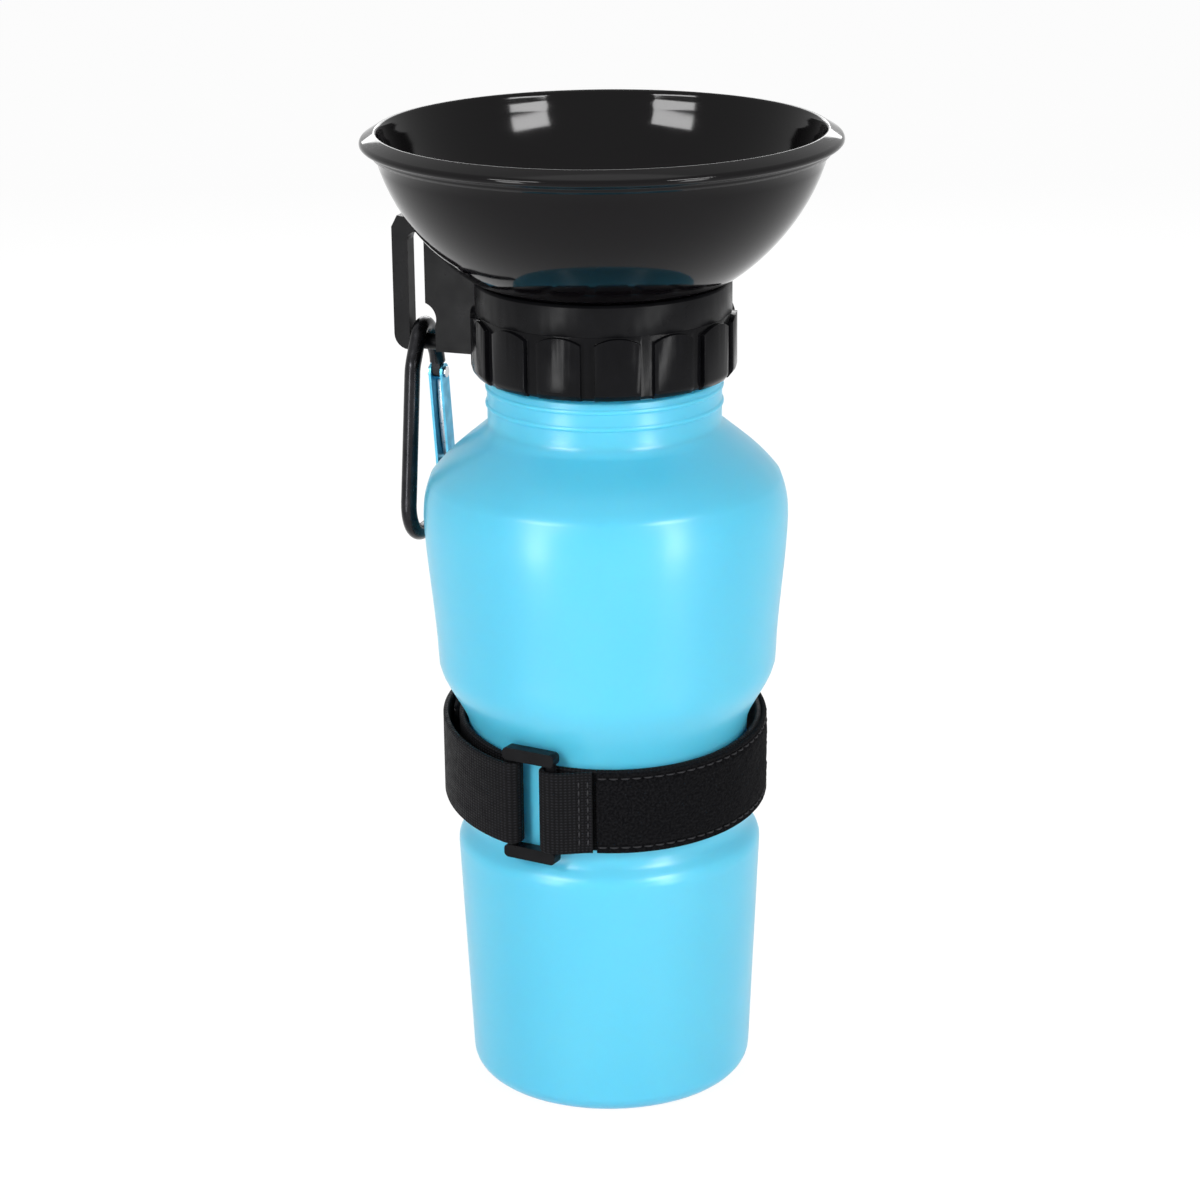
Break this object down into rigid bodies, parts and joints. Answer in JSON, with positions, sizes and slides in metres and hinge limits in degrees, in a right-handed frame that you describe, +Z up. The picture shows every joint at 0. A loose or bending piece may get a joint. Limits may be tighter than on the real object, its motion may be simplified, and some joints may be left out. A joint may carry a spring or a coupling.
{
  "type": "dog travel water bottle",
  "caption": "Waisted squeeze bottle with a drinking bowl screwed on its neck, a side hanger with a carabiner, and an adjustable webbing hand strap.",
  "frame": {"origin": "centre of the ring that the bottle stands on, on the ground", "axes": "+Z up along the bottle's axis, the hanger and its carabiner towards -X, the strap's buckle towards -Y"},
  "size_m": [0.1186, 0.1186, 0.2493],
  "materials": {
    "blue_ldpe": "frosted translucent blue squeeze plastic",
    "black_pp": "satin moulded black plastic",
    "smoke_bowl": "glossy translucent smoke black plastic",
    "blue_plug": "moulded blue plastic",
    "silicone": "pale translucent silicone",
    "tube_pe": "clear extruded tube",
    "black_alloy": "black anodised wire",
    "blue_alloy": "blue anodised folded sheet",
    "steel": "bright spring and rivet steel",
    "webbing": "tight woven black nylon webbing",
    "pile": "black loop pile",
    "hook": "black hook tape",
    "thread": "black sewing thread"
  },
  "bodies": {
    "bottle": {"bottle": "blue_ldpe"},
    "head": {"bowl": "smoke_bowl", "mouth_plug": "blue_plug", "neck_gasket": "silicone", "nozzle_seal": "silicone", "dip_tube": "tube_pe"},
    "collar": {"screw_collar": "black_pp", "hanger": "black_pp"},
    "carabiner": {"carabiner_frame": "black_alloy", "gate_rivet": "steel"},
    "gate": {"carabiner_gate": "blue_alloy", "gate_latch_pin": "steel", "gate_leaf_spring": "steel"},
    "strap": {"strap_webbing": "webbing", "strap_buckle": "black_pp", "loop_pile": "pile", "hook_tape": "hook", "fold_stitching": "thread", "pile_stitching": "thread"}
  },
  "joints": [
    {"name": "head_lift", "type": "slide", "parent": "bottle", "child": "head", "axis": [0, 0, 1], "range_m": [0, 0.006]},
    {"name": "collar_turn", "type": "hinge", "parent": "head", "child": "collar", "pos_m": [0, 0, 0.196], "axis": [0, 0, 1], "range_deg": [0, 540]},
    {"name": "carabiner_swing", "type": "hinge", "parent": "collar", "child": "carabiner", "pos_m": [-0.0486, 0, 0.1921], "axis": [1, 0, 0], "range_deg": [-85, 85]},
    {"name": "gate_open", "type": "hinge", "parent": "carabiner", "child": "gate", "pos_m": [-0.0486, 0.00872, 0.18206], "axis": [-1, 0, 0], "range_deg": [0, 30], "stiffness_Nm_per_rad": 0.03, "springref_deg": -28.65},
    {"name": "strap_turn", "type": "hinge", "parent": "bottle", "child": "strap", "pos_m": [0, 0, 0.09], "axis": [0, 0, 1], "continuous": true}
  ],
  "couplings": [
    {"joint": "head_lift", "follows": "collar_turn", "m_per_rad": 0.00063662}
  ]
}
